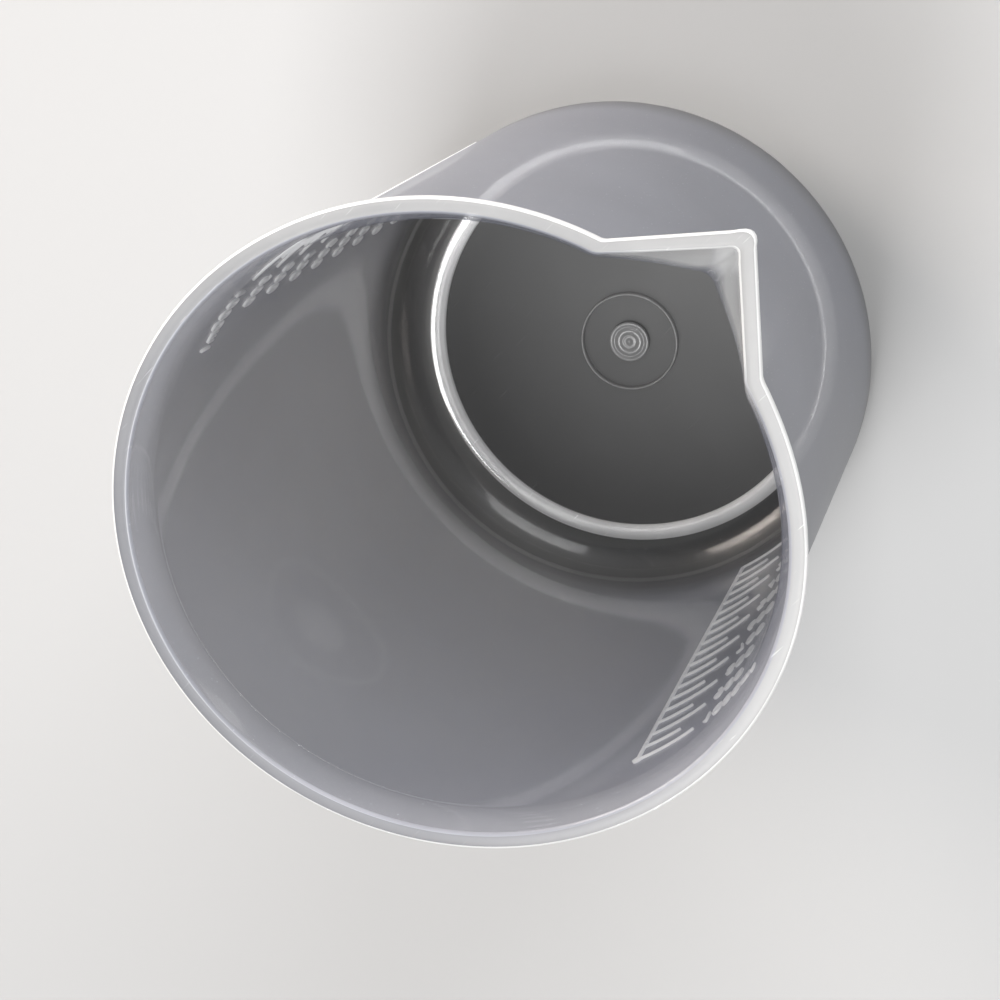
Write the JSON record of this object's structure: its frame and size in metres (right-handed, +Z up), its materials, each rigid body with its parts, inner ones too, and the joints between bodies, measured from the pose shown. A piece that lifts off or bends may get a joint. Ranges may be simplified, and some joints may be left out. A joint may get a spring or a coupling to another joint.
{
  "type": "laboratory beaker",
  "caption": "Translucent plastic laboratory beaker with a V-shaped pouring spout, flared flat rim, rounded heel on a foot ring, and a raised volume scale on opposite sides.",
  "frame": {"origin": "middle of the part's outline on the resting plane, under the foot ring; the beaker's own axis runs up through x = -0.00705 m because the spout makes the outline longer towards +X", "axes": "+Z up along the beaker's axis, +X towards the pouring spout, -Y towards the front scale and +Y towards the back scale"},
  "size_m": [0.1307, 0.1166, 0.138],
  "materials": {
    "wall": "translucent natural polypropylene, semi-gloss, faintly milky",
    "base": "translucent natural polypropylene, semi-gloss, the clearest part",
    "edge": "the same plastic where it is thick or seen edge on, nearly opaque milky white",
    "mark": "raised lines and figures of the same plastic, slightly rougher and lighter"
  },
  "bodies": {
    "root": {"base_plate": "base", "base_heel": "wall", "foot_ring": "edge", "gate_mark": "edge", "gate_ring": "base", "side_wall": "wall", "rim_flare": "edge", "rim_lip": "edge", "pour_spout": "edge", "front_scale": "mark", "front_numeral_100": "mark", "front_numeral_200": "mark", "front_numeral_300": "mark", "front_numeral_400": "mark", "front_numeral_500": "mark", "front_numeral_600": "mark", "front_numeral_700": "mark", "front_numeral_800": "mark", "front_numeral_900": "mark", "front_numeral_1000_ml": "mark", "back_scale": "mark", "back_numeral_100": "mark", "back_numeral_200": "mark", "back_numeral_300": "mark", "back_numeral_400": "mark", "back_numeral_500": "mark", "back_numeral_600": "mark", "back_numeral_700": "mark", "back_numeral_800": "mark", "back_numeral_900": "mark", "back_numeral_1000_ml": "mark"}
  },
  "joints": []
}
